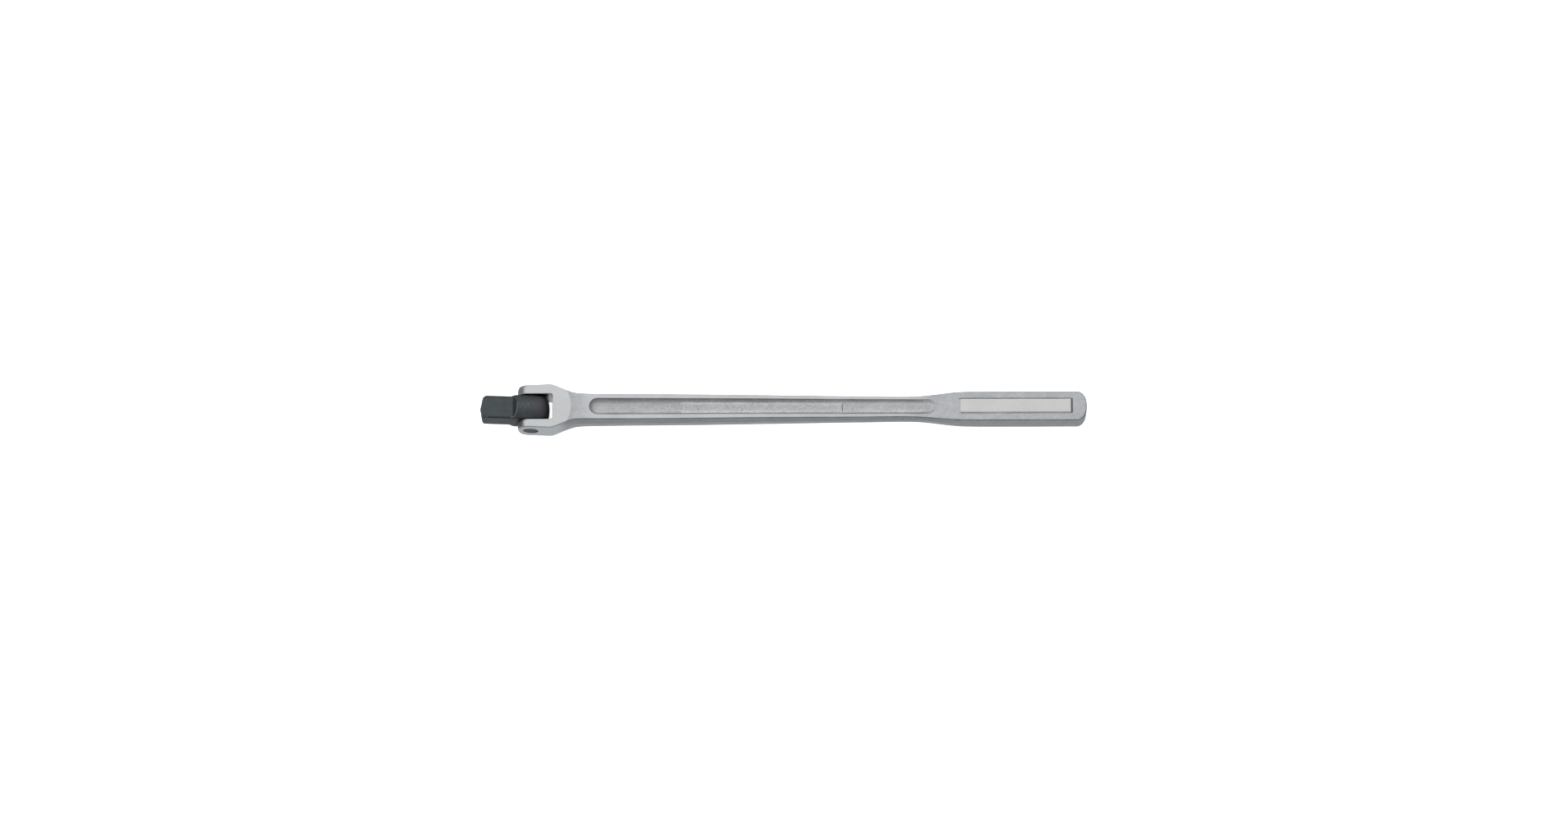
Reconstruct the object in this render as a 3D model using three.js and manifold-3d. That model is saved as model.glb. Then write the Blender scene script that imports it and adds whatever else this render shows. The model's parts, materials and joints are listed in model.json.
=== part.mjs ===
// Flex-head breaker bar with a 3/8 inch square drive, in millimetres, +Z up.
// The bar lies along X: drive head towards -X, grip towards +X, hinge pin along Y.
// Every dimension is measured from the hinge-pin axis. The last lines move the whole
// bar so that the origin is at the bottom centre of its bounding box.
import * as THREE from 'three';
import { mergeVertices } from 'three/addons/utils/BufferGeometryUtils.js';
import Module from 'manifold-3d';

const wasm = await Module();
wasm.setup();

// ---- Driving dimensions ----------------------------------------------------------

// The drive head stands this far above the line of the bar at rest.
const REST_SWING = THREE.MathUtils.degToRad(6.5);

const YOKE = {
  frontX: -5.4,          // tips of the two ears
  endRoundX: 4.6,        // the ear ends are half ellipses, this long ...
  halfThickness: 6.4,    // ... and this high
  frontHalfWidth: 8.8,
  halfWidth: 9.17,       // where the taper begins
  taperX: 8.2,
  waistX: 16,            // where the ground face ends, on the sides
  waistHalfWidth: 6.4,
  faceEndX: 16.8,        // where the ground face ends, on the centre line
  cornerRadius: 1.2,
};

const SLOT = { baseX: 9.02, width: 10.75, centreY: -0.25, cornerRadius: 0.9 };

const PIN = { radius: 3, boreRadius: 3.06, halfLength: 8.93, chamfer: 0.2 };

const HEAD = {
  blankRadius: 7.6,      // turned blank that the tongue and the square are cut from
  rearX: 7.67,
  domeX: 2.5,            // the domed rear meets the blank here
  tongueHalfWidth: 5.1,
  squareHalfWidth: 4.75, // half of the 9.5 mm drive square
  squareCornerRadius: 6.45,
  shoulderX: -6.7,       // the blank narrows from here ...
  neckX: -8.2,           // ... to here, where the corners of the square begin
  reliefX: -8.9,         // the flats of the square run to here
  reliefRadius: 1.6,
  reliefAngle: THREE.MathUtils.degToRad(60),
  tipX: -20.85,
  tipFlatRadius: 1.5,
  tipDomeRadius: 7.7,
  sideClearance: 0.075,  // between the tongue and the -Y ear
};

const BALL = { radius: 1.8, x: -15, standOut: 0.8, boreRadius: 1.92, lipRadius: 1.68, lipDepth: 0.25 };
const SPRING = { coilRadius: 1.3, wireRadius: 0.22, turns: 5, seatY: -1.6 };
const WASHER = { innerRadius: 3.3, outerRadius: 5, thickness: 0.25, wave: 0.07, waves: 3 };

// The shank and grip are forged in two dies that meet at z = 0.
const DRAFT = THREE.MathUtils.degToRad(4);
const PARTING_LAND = 0.3;
const DIE_DEPTH = 7;

// Half widths at the parting plane, from inside the yoke to the grip.
const SHANK_HALF_WIDTHS = [
  [10, 6.3], [16, 6.1], [22, 5.84], [31, 5.75], [58, 5.62], [86, 5.31], [113, 5.01], [140, 4.74],
  [153, 4.6], [160, 4.82], [167, 5.36], [171, 5.76], [176, 6.1], [182, 6.25], [190, 6.3],
];
// Half thicknesses over the same length.
const SHANK_HALF_THICKNESSES = [
  [10, 5.9], [16, 5.8], [24, 5.5], [31, 5.35], [58, 5.15], [86, 5], [113, 4.5], [126, 4.2],
  [140, 4.05], [153, 3.95], [162, 3.9], [170, 4.45], [176, 4.85], [184, 5], [190, 5],
];

// The grip ends in a half ellipse, seen from above, with a small rounded edge.
const GRIP = { endX: 228.7, endLength: 4.3, endHalfWidth: 6.3, edgeRadius: 0.5 };
const FLUTE = {
  startX: 24.1, endX: 166.4, startHalfWidth: 3.5, endHalfWidth: 3,
  startFloor: 2.8, endFloor: 2.3, floorRadius: 1.1, wallHeight: 8,
};
const FLUTE_PAD = { startX: 61.5, endX: 128.4, halfWidth: 2.25, height: 0.35 };
const GRIP_PANEL = { startX: 176.4, endX: 222.8, halfWidth: 3, halfHeight: 5.3, bevel: 0.2 };

const STEEL = { color: 0xb9bbbd, roughness: 0.42, metalness: 0.85 };
const BLACK_OXIDE = { color: 0x474c50, roughness: 0.5, metalness: 0.6 };
const SPRING_STEEL = { color: 0x8e9194, roughness: 0.35, metalness: 0.9 };
const POLISHED_STEEL = { color: 0xc9cbcc, roughness: 0.2, metalness: 0.95 };

// ---- Geometry helpers ------------------------------------------------------------

// Turns a closed three.js geometry into a solid that can be joined and cut.
function solid(geometry) {
  const bare = geometry.index ? geometry.clone() : geometry;
  bare.deleteAttribute('normal');
  bare.deleteAttribute('uv');
  const merged = mergeVertices(bare, 1e-4);
  return new wasm.Manifold(new wasm.Mesh({
    numProp: 3,
    vertProperties: new Float32Array(merged.attributes.position.array),
    triVerts: new Uint32Array(merged.index.array),
  }));
}

// Turns a solid back into a three.js geometry.
function geometryOf(manifold) {
  const mesh = manifold.getMesh();
  const geometry = new THREE.BufferGeometry();
  geometry.setAttribute('position', new THREE.BufferAttribute(mesh.vertProperties, 3));
  geometry.setIndex(new THREE.BufferAttribute(mesh.triVerts, 1));
  geometry.computeVertexNormals();
  return geometry;
}

// Closes a half outline, which starts and ends on the centre line, with its mirror image.
function mirrored(half, divisions = 6) {
  const upper = half.getPoints(divisions).filter((p, i, all) => i === 0 || p.distanceTo(all[i - 1]) > 1e-4);
  const lower = upper.filter((p) => p.y > 1e-4).reverse().map((p) => new THREE.Vector2(p.x, -p.y));
  return new THREE.Shape(upper.concat(lower));
}

// Extrudes an XY outline along Z, equally to both sides of the plane z = 0.
function prismZ(shape, halfDepth, bevel = {}) {
  const geometry = new THREE.ExtrudeGeometry(shape, { depth: 2 * halfDepth, bevelEnabled: false, ...bevel });
  return geometry.translate(0, 0, -halfDepth);
}

// Extrudes an XZ outline along Y, equally to both sides of the plane y = 0.
function prismY(shape, halfDepth) {
  return prismZ(shape, halfDepth).rotateX(Math.PI / 2);
}

// Turns a profile of [x, radius] points about the X axis.
function turnedX(points, segments) {
  const profile = points.map(([x, radius]) => new THREE.Vector2(radius, x));
  return new THREE.LatheGeometry(profile, segments).rotateZ(-Math.PI / 2);
}

// Turns a profile of [y, radius] points about the Y axis.
function turnedY(points, segments) {
  return new THREE.LatheGeometry(points.map(([y, radius]) => new THREE.Vector2(radius, y)), segments);
}

function boxShape(startX, endX, halfWidth) {
  const half = new THREE.Path();
  half.moveTo(startX, 0).lineTo(startX, halfWidth).lineTo(endX, halfWidth).lineTo(endX, 0);
  return mirrored(half);
}

function named(name, geometry, finish) {
  const mesh = new THREE.Mesh(geometry, new THREE.MeshStandardMaterial(finish));
  mesh.name = name;
  return mesh;
}

// ---- Handle: yoke, shank and grip in one forging -----------------------------------

function yokeBlock() {
  const { frontX, frontHalfWidth, cornerRadius, faceEndX, waistX, waistHalfWidth } = YOKE;
  const plan = new THREE.Path();
  plan.moveTo(frontX, 0);
  plan.lineTo(frontX, frontHalfWidth - cornerRadius);
  plan.quadraticCurveTo(frontX, frontHalfWidth, frontX + cornerRadius, frontHalfWidth);
  plan.lineTo(YOKE.taperX - 2, YOKE.halfWidth);
  plan.quadraticCurveTo(YOKE.taperX + 0.3, YOKE.halfWidth, YOKE.taperX + 2, 8.6);
  plan.lineTo(waistX, waistHalfWidth);
  plan.quadraticCurveTo(faceEndX, waistHalfWidth / 2, faceEndX, 0);

  const side = new THREE.Path();
  const endCentreX = frontX + YOKE.endRoundX;
  side.absellipse(endCentreX, 0, YOKE.endRoundX, YOKE.halfThickness, Math.PI, Math.PI / 2, true, 0);
  side.lineTo(faceEndX + 1, YOKE.halfThickness);
  side.lineTo(faceEndX + 1, 0);
  return solid(prismZ(mirrored(plan), YOKE.halfThickness + 1)).intersect(solid(prismY(mirrored(side, 10), 12)));
}

function shankAndGrip() {
  const toVectors = (pairs) => pairs.map(([x, y]) => new THREE.Vector2(x, y));

  const plan = new THREE.Path();
  const firstWidth = SHANK_HALF_WIDTHS[0];
  const endStartX = GRIP.endX - GRIP.endLength;
  plan.moveTo(firstWidth[0], 0);
  plan.lineTo(...firstWidth);
  plan.splineThru(toVectors(SHANK_HALF_WIDTHS.slice(1)));
  plan.lineTo(endStartX, GRIP.endHalfWidth);
  plan.absellipse(endStartX, 0, GRIP.endLength, GRIP.endHalfWidth, Math.PI / 2, 0, true, 0);
  const dieBevel = {
    bevelEnabled: true, bevelSegments: 1, bevelThickness: DIE_DEPTH,
    bevelSize: DIE_DEPTH * Math.tan(DRAFT), bevelOffset: -DIE_DEPTH * Math.tan(DRAFT),
  };

  const side = new THREE.Path();
  const firstThickness = SHANK_HALF_THICKNESSES[0];
  const gripHalfThickness = SHANK_HALF_THICKNESSES.at(-1)[1];
  side.moveTo(firstThickness[0], 0);
  side.lineTo(...firstThickness);
  side.splineThru(toVectors(SHANK_HALF_THICKNESSES.slice(1)));
  side.lineTo(GRIP.endX - GRIP.edgeRadius, gripHalfThickness);
  side.quadraticCurveTo(GRIP.endX, gripHalfThickness, GRIP.endX, gripHalfThickness - GRIP.edgeRadius);
  side.lineTo(GRIP.endX, 0);
  return solid(prismZ(mirrored(plan, 3), PARTING_LAND / 2, dieBevel)).intersect(solid(prismY(mirrored(side, 3), 9)));
}

// Lays a piece that is modelled with its base at z = 0 on the floor of the flute.
function onFluteFloor(geometry) {
  const slope = Math.atan2(FLUTE.startFloor - FLUTE.endFloor, FLUTE.endX - FLUTE.startX);
  return geometry
    .translate(-FLUTE.startX, 0, 0)
    .rotateY(slope)
    .translate(FLUTE.startX, 0, FLUTE.startFloor);
}

function fluteCutter() {
  const { startX, endX, startHalfWidth, endHalfWidth, floorRadius } = FLUTE;
  const half = new THREE.Path();
  half.absarc(startX + startHalfWidth, 0, startHalfWidth, Math.PI, Math.PI / 2, true);
  half.lineTo(endX - endHalfWidth, endHalfWidth);
  half.absarc(endX - endHalfWidth, 0, endHalfWidth, Math.PI / 2, 0, true);
  const geometry = new THREE.ExtrudeGeometry(mirrored(half), {
    depth: FLUTE.wallHeight, bevelEnabled: true, bevelSegments: 2,
    bevelThickness: floorRadius, bevelSize: floorRadius, bevelOffset: -floorRadius,
  });
  return onFluteFloor(geometry.translate(0, 0, floorRadius));
}

function flutePad() {
  const { startX, endX, halfWidth, height } = FLUTE_PAD;
  return onFluteFloor(prismZ(boxShape(startX, endX, halfWidth), height));
}

function gripPanels() {
  const { startX, endX, halfWidth, halfHeight, bevel } = GRIP_PANEL;
  return prismZ(boxShape(startX, endX, halfWidth), halfHeight - bevel, {
    bevelEnabled: true, bevelSegments: 1, bevelThickness: bevel, bevelSize: bevel, bevelOffset: -bevel,
  });
}

function slotCutter() {
  const { baseX, width, centreY, cornerRadius } = SLOT;
  const half = new THREE.Path();
  half.moveTo(2 * YOKE.frontX, 0);
  half.lineTo(2 * YOKE.frontX, width / 2);
  half.lineTo(baseX - cornerRadius, width / 2);
  half.absarc(baseX - cornerRadius, width / 2 - cornerRadius, cornerRadius, Math.PI / 2, 0, true);
  half.lineTo(baseX, 0);
  return prismZ(mirrored(half), 2 * YOKE.halfThickness).translate(0, centreY, 0);
}

function pinBore() {
  return turnedY([[-20, 0], [-20, PIN.boreRadius], [20, PIN.boreRadius], [20, 0]], 40);
}

function handleGeometry() {
  let handle = shankAndGrip().add(yokeBlock());
  for (const turn of [0, Math.PI]) {
    handle = handle.subtract(solid(fluteCutter().rotateX(turn)));
    handle = handle.add(solid(flutePad().rotateX(turn)));
  }
  handle = handle.add(solid(gripPanels()));
  handle = handle.subtract(solid(slotCutter()));
  return geometryOf(handle.subtract(solid(pinBore())));
}

// ---- Hinge pin and the spring washer on it ------------------------------------------

function pinGeometry() {
  const { radius, halfLength, chamfer } = PIN;
  const end = [[halfLength, 0], [halfLength, radius - chamfer], [halfLength - chamfer, radius]];
  const start = end.map(([y, r]) => [-y, r]).reverse();
  return turnedY([...end, ...start].reverse(), 40);
}

function washerGeometry() {
  const { innerRadius, outerRadius, thickness, wave, waves } = WASHER;
  const half = thickness / 2;
  const ring = [[-half, innerRadius], [-half, outerRadius], [half, outerRadius], [half, innerRadius]];
  const geometry = turnedY([...ring, ring[0]], 48);
  const position = geometry.attributes.position;
  for (let i = 0; i < position.count; i += 1) {
    const angle = Math.atan2(position.getZ(i), position.getX(i));
    position.setY(i, position.getY(i) + wave * Math.cos(waves * angle));
  }
  return geometry;
}

// ---- Drive head ---------------------------------------------------------------------

// Half outline of the head on one side of a flat: the drive square, the milled relief
// behind it and the tongue, which is cut to tongueHeight.
function headOutline(tongueHeight) {
  const { tipX, reliefX, reliefRadius, reliefAngle, squareHalfWidth, rearX } = HEAD;
  const half = new THREE.Path();
  half.moveTo(tipX - 1, 0);
  half.lineTo(tipX - 1, squareHalfWidth);
  half.lineTo(reliefX, squareHalfWidth);
  const steps = 6;
  for (let i = 1; i <= steps; i += 1) {
    const angle = (reliefAngle * i) / steps;
    const rise = reliefRadius * (1 - Math.cos(angle));
    if (squareHalfWidth + rise < tongueHeight) {
      half.lineTo(reliefX + reliefRadius * Math.sin(angle), squareHalfWidth + rise);
    }
  }
  const { x, y } = half.currentPoint;
  half.lineTo(x + (tongueHeight - y) / Math.tan(reliefAngle), tongueHeight);
  half.lineTo(rearX + 1, tongueHeight);
  half.lineTo(rearX + 1, 0);
  return mirrored(half, 1);
}

function headBlank() {
  const { blankRadius, rearX, domeX, shoulderX, neckX, squareCornerRadius } = HEAD;
  const dome = new THREE.QuadraticBezierCurve(
    new THREE.Vector2(rearX, 0),
    new THREE.Vector2(rearX, blankRadius),
    new THREE.Vector2(domeX, blankRadius),
  );
  const profile = dome.getPoints(8).map((p) => [p.x, p.y]);
  profile.push([shoulderX, blankRadius], [neckX, squareCornerRadius]);

  const { tipX, tipFlatRadius, tipDomeRadius } = HEAD;
  const cornerAngle = Math.asin((squareCornerRadius - tipFlatRadius) / tipDomeRadius);
  const steps = 5;
  for (let i = steps; i >= 0; i -= 1) {
    const angle = (cornerAngle * i) / steps;
    profile.push([
      tipX + tipDomeRadius * (1 - Math.cos(angle)),
      tipFlatRadius + tipDomeRadius * Math.sin(angle),
    ]);
  }
  profile.push([tipX, 0]);
  return turnedX(profile.reverse(), 48);
}

// The ball's bore opens in the +Y face of the square, with a staked lip that holds the ball.
function ballBore() {
  const faceY = HEAD.squareHalfWidth;
  const lipY = faceY - BALL.lipDepth;
  return turnedY([
    [SPRING.seatY, 0], [SPRING.seatY, BALL.boreRadius], [lipY, BALL.boreRadius],
    [lipY, BALL.lipRadius], [faceY + 1, BALL.lipRadius], [faceY + 1, 0],
  ], 32).translate(BALL.x, 0, 0);
}

function headGeometry() {
  const { blankRadius, tongueHalfWidth } = HEAD;
  return geometryOf(solid(headBlank())
    .intersect(solid(prismY(headOutline(blankRadius + 1), blankRadius + 1)))
    .intersect(solid(prismZ(headOutline(tongueHalfWidth), blankRadius + 1)))
    .subtract(solid(pinBore()))
    .subtract(solid(ballBore())));
}

class CoilCurve extends THREE.Curve {
  constructor(radius, turns, startY, endY) {
    super();
    Object.assign(this, { radius, turns, startY, endY });
  }

  getPoint(t, target = new THREE.Vector3()) {
    const angle = 2 * Math.PI * this.turns * t;
    const y = THREE.MathUtils.lerp(this.startY, this.endY, t);
    return target.set(this.radius * Math.cos(angle), y, this.radius * Math.sin(angle));
  }
}

function springGeometry() {
  const { coilRadius, wireRadius, turns, seatY } = SPRING;
  const ballCentreY = HEAD.squareHalfWidth + BALL.standOut - BALL.radius;
  const contactY = ballCentreY - Math.sqrt(BALL.radius ** 2 - coilRadius ** 2);
  const gap = wireRadius + 0.1;
  const section = new THREE.Shape(new THREE.EllipseCurve(0, 0, wireRadius, wireRadius).getPoints(8).slice(0, -1));
  return new THREE.ExtrudeGeometry(section, {
    steps: turns * 14,
    bevelEnabled: false,
    extrudePath: new CoilCurve(coilRadius, turns, seatY + gap, contactY - gap),
  });
}

// ---- Assembly -------------------------------------------------------------------------

const pinCentred = new THREE.Group();
pinCentred.add(named('handle', handleGeometry(), STEEL));
pinCentred.add(named('hinge_pin', pinGeometry(), BLACK_OXIDE));

const slotWallY = SLOT.width / 2;
const headY = SLOT.centreY - slotWallY + HEAD.sideClearance + HEAD.tongueHalfWidth;
const washer = named('friction_washer', washerGeometry(), BLACK_OXIDE);
washer.position.y = (headY + HEAD.tongueHalfWidth + SLOT.centreY + slotWallY) / 2;
pinCentred.add(washer);

const headGroup = new THREE.Group();
headGroup.position.y = headY;
headGroup.rotation.y = REST_SWING;
headGroup.add(named('drive_head', headGeometry(), BLACK_OXIDE));

const ball = named('detent_ball', new THREE.SphereGeometry(BALL.radius, 24, 16), POLISHED_STEEL);
ball.position.set(BALL.x, HEAD.squareHalfWidth + BALL.standOut - BALL.radius, 0);
headGroup.add(ball);

const spring = named('detent_spring', springGeometry(), SPRING_STEEL);
spring.position.x = BALL.x;
headGroup.add(spring);
pinCentred.add(headGroup);

const bounds = new THREE.Box3().setFromObject(pinCentred, true);
const centre = bounds.getCenter(new THREE.Vector3());
pinCentred.position.set(-centre.x, -centre.y, -bounds.min.z);

const breakerBar = new THREE.Group();
breakerBar.add(pinCentred);

export default breakerBar;
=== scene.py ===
import json
import math

import bpy
import numpy as np
from mathutils import Matrix, Vector
from mathutils.geometry import delaunay_2d_cdt


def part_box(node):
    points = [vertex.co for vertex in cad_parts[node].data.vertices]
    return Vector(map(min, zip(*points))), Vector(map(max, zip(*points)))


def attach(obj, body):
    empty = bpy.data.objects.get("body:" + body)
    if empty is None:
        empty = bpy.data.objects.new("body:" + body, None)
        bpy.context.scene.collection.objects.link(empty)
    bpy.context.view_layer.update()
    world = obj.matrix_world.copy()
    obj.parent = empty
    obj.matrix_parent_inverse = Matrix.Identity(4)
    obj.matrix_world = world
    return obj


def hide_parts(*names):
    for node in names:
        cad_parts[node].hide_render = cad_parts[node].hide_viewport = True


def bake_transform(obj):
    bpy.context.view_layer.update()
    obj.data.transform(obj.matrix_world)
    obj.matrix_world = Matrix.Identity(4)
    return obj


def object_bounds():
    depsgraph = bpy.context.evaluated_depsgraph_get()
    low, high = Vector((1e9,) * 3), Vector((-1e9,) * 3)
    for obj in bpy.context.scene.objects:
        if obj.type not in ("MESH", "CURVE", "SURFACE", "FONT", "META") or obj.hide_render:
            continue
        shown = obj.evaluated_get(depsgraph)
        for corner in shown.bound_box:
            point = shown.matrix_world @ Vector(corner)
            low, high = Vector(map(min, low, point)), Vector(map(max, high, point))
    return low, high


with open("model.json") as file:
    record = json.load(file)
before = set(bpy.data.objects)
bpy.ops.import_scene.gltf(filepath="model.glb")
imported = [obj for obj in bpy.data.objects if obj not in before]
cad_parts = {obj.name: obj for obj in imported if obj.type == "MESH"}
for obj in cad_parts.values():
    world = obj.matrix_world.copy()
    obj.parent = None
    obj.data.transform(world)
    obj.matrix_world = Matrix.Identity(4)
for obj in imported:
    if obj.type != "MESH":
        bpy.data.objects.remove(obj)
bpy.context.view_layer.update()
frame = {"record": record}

# Shapes are made in millimetres from the hinge-pin axis, then placed in the row frame in metres.
MM = 0.001
PIN_LOW, PIN_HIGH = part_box("hinge_pin")
PIN_AXIS = np.array((PIN_LOW + PIN_HIGH) / 2)
SWING_JOINT = next(j for j in frame["record"]["behaviour"]["joints"] if j["name"] == "head_swing")
HEAD_AXIS = np.array(SWING_JOINT["pos_m"])
# The head swings equally to both sides of the line of the bar, so its limits give its angle at rest.
REST_SWING = -math.radians(sum(SWING_JOINT["range_deg"]) / 2)
HEAD_TURN = np.array(Matrix.Rotation(REST_SWING, 3, "Y"))


# ---- Dimensions, in millimetres -----------------------------------------------------

YOKE = dict(front=-5.4, end_round=4.6, half_thickness=6.4, front_half_width=8.8, corner=1.2)
EAR_SIDE = [(-4.2, 8.8), (5.4, 9.17)]
EAR_FLARE = 0.037
EAR_SHOULDER = [(5.4, 9.17), (7.8, 9.25), (8.9, 9.17), (9.7, 8.93)]
WAIST_AND_GRIP = [
    (9.7, 8.93), (12.6, 7.83), (14.8, 7.0), (16.4, 6.5), (18, 6.15), (20.5, 5.9), (24, 5.8),
    (31, 5.75), (58, 5.62), (86, 5.31), (113, 5.01), (140, 4.74), (153, 4.6), (157, 4.66),
    (160, 4.81), (164, 5.12), (168, 5.48), (172, 5.83), (176, 6.05), (182, 6.17), (190, 6.2),
]
SHANK_THICKNESS = [
    (9, 5.9), (16, 5.8), (24, 5.5), (31, 5.35), (58, 5.15), (86, 5), (113, 4.5), (126, 4.2),
    (140, 4.05), (153, 3.95), (162, 3.9), (170, 4.45), (176, 4.85), (184, 5), (190, 5),
]
GRIP_END = dict(x=228.7, length=4.3, half_width=6.2, fullness=0.9, edge=0.35)
SEAM = dict(x=16.6, bow=1.5, half_width=6.2, run_out=3.6)
SLOT = dict(base=9.02, half_width=5.375, centre=-0.25, corner=0.9)
FACE_EDGE = 0.22
# The sides have draft from the faces to the parting plane, with almost none left on the grip. On the
# waist the draft facet starts as a wedge.
DRAFT = math.tan(math.radians(4))
GRIP_DRAFT_LOSS = dict(start=160, end=182, share=0.9)
WEDGE = dict(start=9.5, slope=0.62)
PARTING_RIDGE = 0.03

FLUTE = dict(
    start=24.1, end=166.4, start_width=3.5, end_width=3.0, start_floor=2.8, end_floor=2.3,
    bow=7, end_bow=2.4, dish=0.36, end_rise=0.95,
)
FLUTE_PAD = dict(start=61.5, end=128.4, share=0.66, height=0.5, edge=0.4, start_edge=1.1)
PANEL = dict(start=176.4, end=222.4, half_width=3.0)
PANEL_EDGE = [(-0.3, 0), (-0.14, 0), (0.06, 0.24), (0.2, 0.3)]
PANEL_SLOPES = dict(left=0.42, right=0.45, near=0.5, far=1.0)

HEAD = dict(
    blank=7.6, rear=7.67, dome=2.5, tongue=5.1, square=4.75, corner=6.6, shoulder=-6.7, neck=-8.2,
    relief=-8.9, relief_radius=1.6, relief_angle=math.radians(60),
)
# The tip is a blunt dome with a slightly raised middle and a rounded edge, as (x, radius).
HEAD_TIP = [
    (-20.93, 0), (-20.88, 0.5), (-20.78, 1.0), (-20.55, 1.9), (-20.4, 2.8), (-20.22, 3.75), (-20.0, 4.7),
    (-19.7, 5.45), (-19.3, 6.1), (-18.95, 6.45), (-18.6, 6.6),
]
PIN_BORE = [(-20, 0), (-20, 3.06), (20, 3.06), (20, 0)]
PIN_RADIUS = 3.0
BALL = dict(radius=1.8, x=-15.0, stand_out=0.8, bore=1.92, lip=1.68, seat=-1.6)
BALL_CENTRE_Y = HEAD["square"] + BALL["stand_out"] - BALL["radius"]
SPRING = dict(coil=1.3, wire=0.22, turns=5, clearance=0.1)


# ---- Mesh helpers --------------------------------------------------------------------

def smooth_curve(points):
    """A smooth function through (x, value) points."""
    xs, ys = np.array(points, float).T
    slopes = np.gradient(ys, xs)

    def curve(x):
        x = np.clip(x, xs[0], xs[-1])
        i = np.clip(np.searchsorted(xs, x) - 1, 0, len(xs) - 2)
        h = xs[i + 1] - xs[i]
        t = (x - xs[i]) / h
        start = ys[i] * (1 + 2 * t) + h * slopes[i] * t
        end = ys[i + 1] * (3 - 2 * t) + h * slopes[i + 1] * (t - 1)
        return start * (1 - t) ** 2 + end * t ** 2
    return curve


def smooth_step(x, start, end):
    t = np.clip((x - start) / (end - start), 0, 1)
    return t * t * (3 - 2 * t)


def smooth_min(a, b, k):
    """The lower of a and b, with the corner between them rounded over about k."""
    h = np.clip(1 - np.abs(a - b) / k, 0, 1)
    return np.minimum(a, b) - h * h * k / 4


def value_noise(co, size, seed):
    """Smooth random values from -1 to 1 at 3-D points, varying over about size."""
    table = np.random.default_rng(seed).uniform(-1, 1, (32, 32, 32))
    p = co / size
    base = np.floor(p).astype(int)
    t = p - base
    t = t * t * (3 - 2 * t)
    total = np.zeros(len(co))
    for corner in np.ndindex(2, 2, 2):
        i, j, k = ((base + corner) % 32).T
        weight = np.prod(np.where(corner, t, 1 - t), axis=1)
        total += table[i, j, k] * weight
    return total


def resample(points, step):
    """Points along a polyline, about step apart, with its own corners kept."""
    out = [points[0]]
    for a, b in zip(points[:-1], points[1:]):
        n = max(1, int(math.ceil(math.dist(a, b) / step)))
        out += [tuple(np.array(a) + (np.array(b) - np.array(a)) * k / n) for k in range(1, n + 1)]
    return out


def smooth_line(points, pieces):
    """A smooth curve through 2-D points, with each span cut into pieces."""
    points = np.array(points, float)
    at = np.arange(len(points))
    fine = np.linspace(0, len(points) - 1, pieces * (len(points) - 1) + 1)
    return np.stack([smooth_curve(np.stack([at, column], axis=1))(fine) for column in points.T], axis=1)


def line_normals(points):
    """Unit normals of a 2-D polyline, on the left of its direction."""
    tangent = np.gradient(points, axis=0)
    tangent /= np.linalg.norm(tangent, axis=1)[:, None]
    return np.stack([-tangent[:, 1], tangent[:, 0]], axis=1)


def welded_mesh(name, co_mm, faces, head=False):
    """A mesh in the row frame from points in millimetres, with equal points welded. Also gives the
    index of each kept point."""
    key = np.round(co_mm, 4) + 0.0
    _, first, inverse = np.unique(key, axis=0, return_index=True, return_inverse=True)
    inverse = inverse.ravel()
    kept = []
    for face in faces:
        loop = [inverse[v] for v in face]
        loop = [v for i, v in enumerate(loop) if v != loop[i - 1]]
        if len(loop) > 2:
            kept.append(loop)
    co = co_mm[first]
    if head:
        co = co @ HEAD_TURN.T
    mesh = bpy.data.meshes.new(name)
    mesh.from_pydata((co * MM + (HEAD_AXIS if head else PIN_AXIS)).tolist(), [], kept)
    return mesh, first


def make_object(name, co_mm, faces, material, body, node, attributes=None, sharp_angle=35, head=False):
    """Makes a smooth-shaded object from points in millimetres. With a body it rides on that CAD body."""
    mesh, first = welded_mesh(name, co_mm, faces, head)
    for label, values in (attributes or {}).items():
        layer = mesh.attributes.new(label, "FLOAT", "POINT")
        layer.data.foreach_set("value", np.asarray(values, np.float32)[first])
    mesh.polygons.foreach_set("use_smooth", np.ones(len(mesh.polygons), bool))
    mesh.set_sharp_from_angle(angle=math.radians(sharp_angle))
    mesh.materials.append(material)
    obj = bpy.data.objects.new(name, mesh)
    bpy.context.scene.collection.objects.link(obj)
    if body:
        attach(obj, body)
    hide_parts(node)
    return obj


def turned(profile, segments):
    """Turns (y, radius) points about the Y axis, with the faces outwards."""
    angles = np.linspace(0, 2 * math.pi, segments, endpoint=False)
    along, radius = np.array(profile, float).T
    co = np.stack([np.outer(radius, np.cos(angles)).ravel(), np.repeat(along, segments),
                   np.outer(radius, np.sin(angles)).ravel()], axis=1)
    faces = grid_faces(len(profile), segments, wrap=True)
    backwards = np.sum(along[:-1] * radius[1:] - along[1:] * radius[:-1]) > 0
    return co, [f[::-1] for f in faces] if backwards else faces


def grid_faces(rows, columns, wrap=False):
    """Quads between the points of a grid that is stored row by row."""
    faces = []
    for r in range(rows - 1):
        for c in range(columns if wrap else columns - 1):
            d = (c + 1) % columns
            faces.append([r * columns + c, (r + 1) * columns + c, (r + 1) * columns + d, r * columns + d])
    return faces


def cut(obj, co_mm, faces, head=False):
    """Cuts a closed form, in millimetres, out of an object."""
    mesh, _ = welded_mesh("cutter", co_mm, faces, head)
    cutter = bpy.data.objects.new("cutter", mesh)
    bpy.context.scene.collection.objects.link(cutter)
    modifier = obj.modifiers.new("cut", "BOOLEAN")
    modifier.operation = "DIFFERENCE"
    modifier.solver = "EXACT"
    modifier.object = cutter
    with bpy.context.temp_override(object=obj, active_object=obj):
        bpy.ops.object.modifier_apply(modifier="cut")
    bpy.data.objects.remove(cutter)
    bpy.data.meshes.remove(mesh)


# ---- Materials -------------------------------------------------------------------------

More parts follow.
